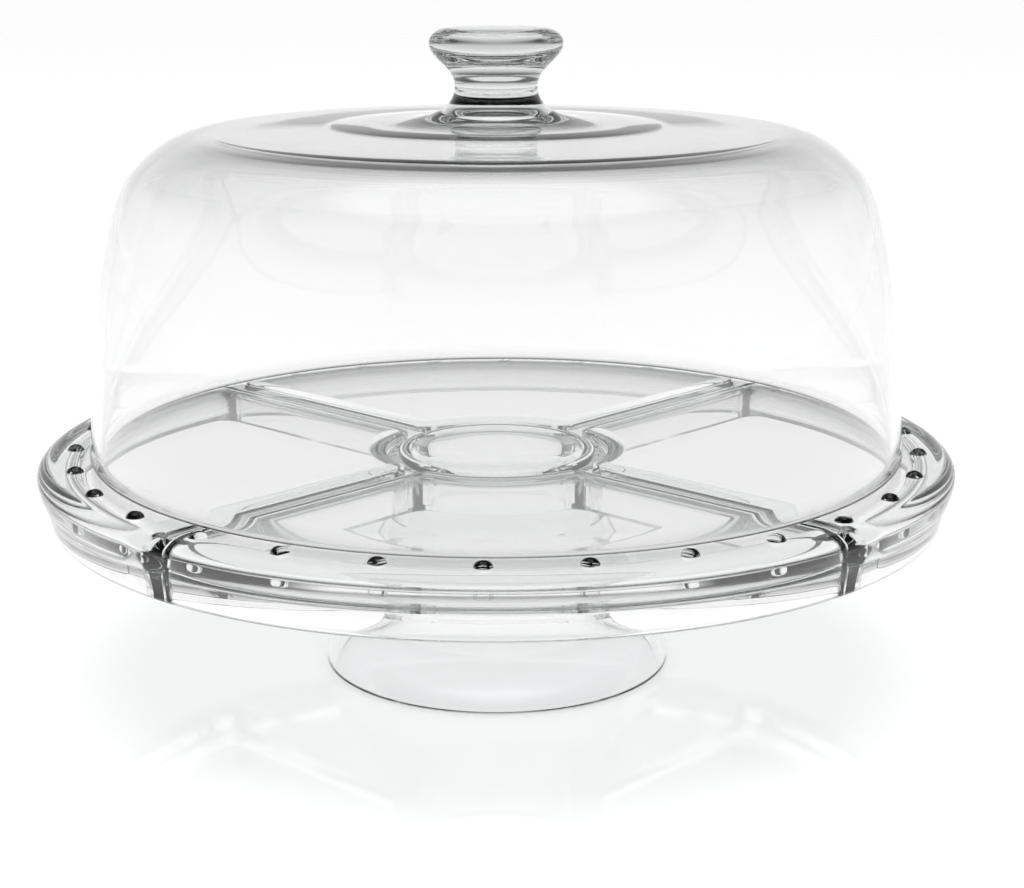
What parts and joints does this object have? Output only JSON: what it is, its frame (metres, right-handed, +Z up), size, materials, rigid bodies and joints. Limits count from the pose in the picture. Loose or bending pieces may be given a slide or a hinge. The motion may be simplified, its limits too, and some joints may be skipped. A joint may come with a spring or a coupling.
{
  "type": "cheese dome",
  "caption": "Footed clear glass cake plate with a beaded rim and deep skirt, covered by a round clear glass dome that lifts off by its solid knob.",
  "frame": {"origin": "on the axis of the plate, at the bottom of the foot", "axes": "+Z up the axis through foot, plate, dome and knob; the dividers under the plate lie at 45 degrees to X and Y"},
  "size_m": [0.33, 0.33, 0.2308],
  "materials": {
    "plate_glass": "clear pressed glass, fire-polished, faint grey-green tint",
    "dome_glass": "clear glass, fire-polished, almost colourless"
  },
  "bodies": {
    "stand": {"plate_disc": "plate_glass", "plate_rim": "plate_glass", "foot_neck": "plate_glass", "foot_bell": "plate_glass", "divider_rib_1": "plate_glass", "divider_rib_2": "plate_glass", "divider_rib_3": "plate_glass", "divider_rib_4": "plate_glass"},
    "dome": {"dome_shell": "dome_glass", "dome_knob": "dome_glass"}
  },
  "joints": [
    {"name": "dome_lift", "type": "slide", "parent": "stand", "child": "dome", "axis": [0, 0, 1], "range_m": [0, 0.2]}
  ]
}
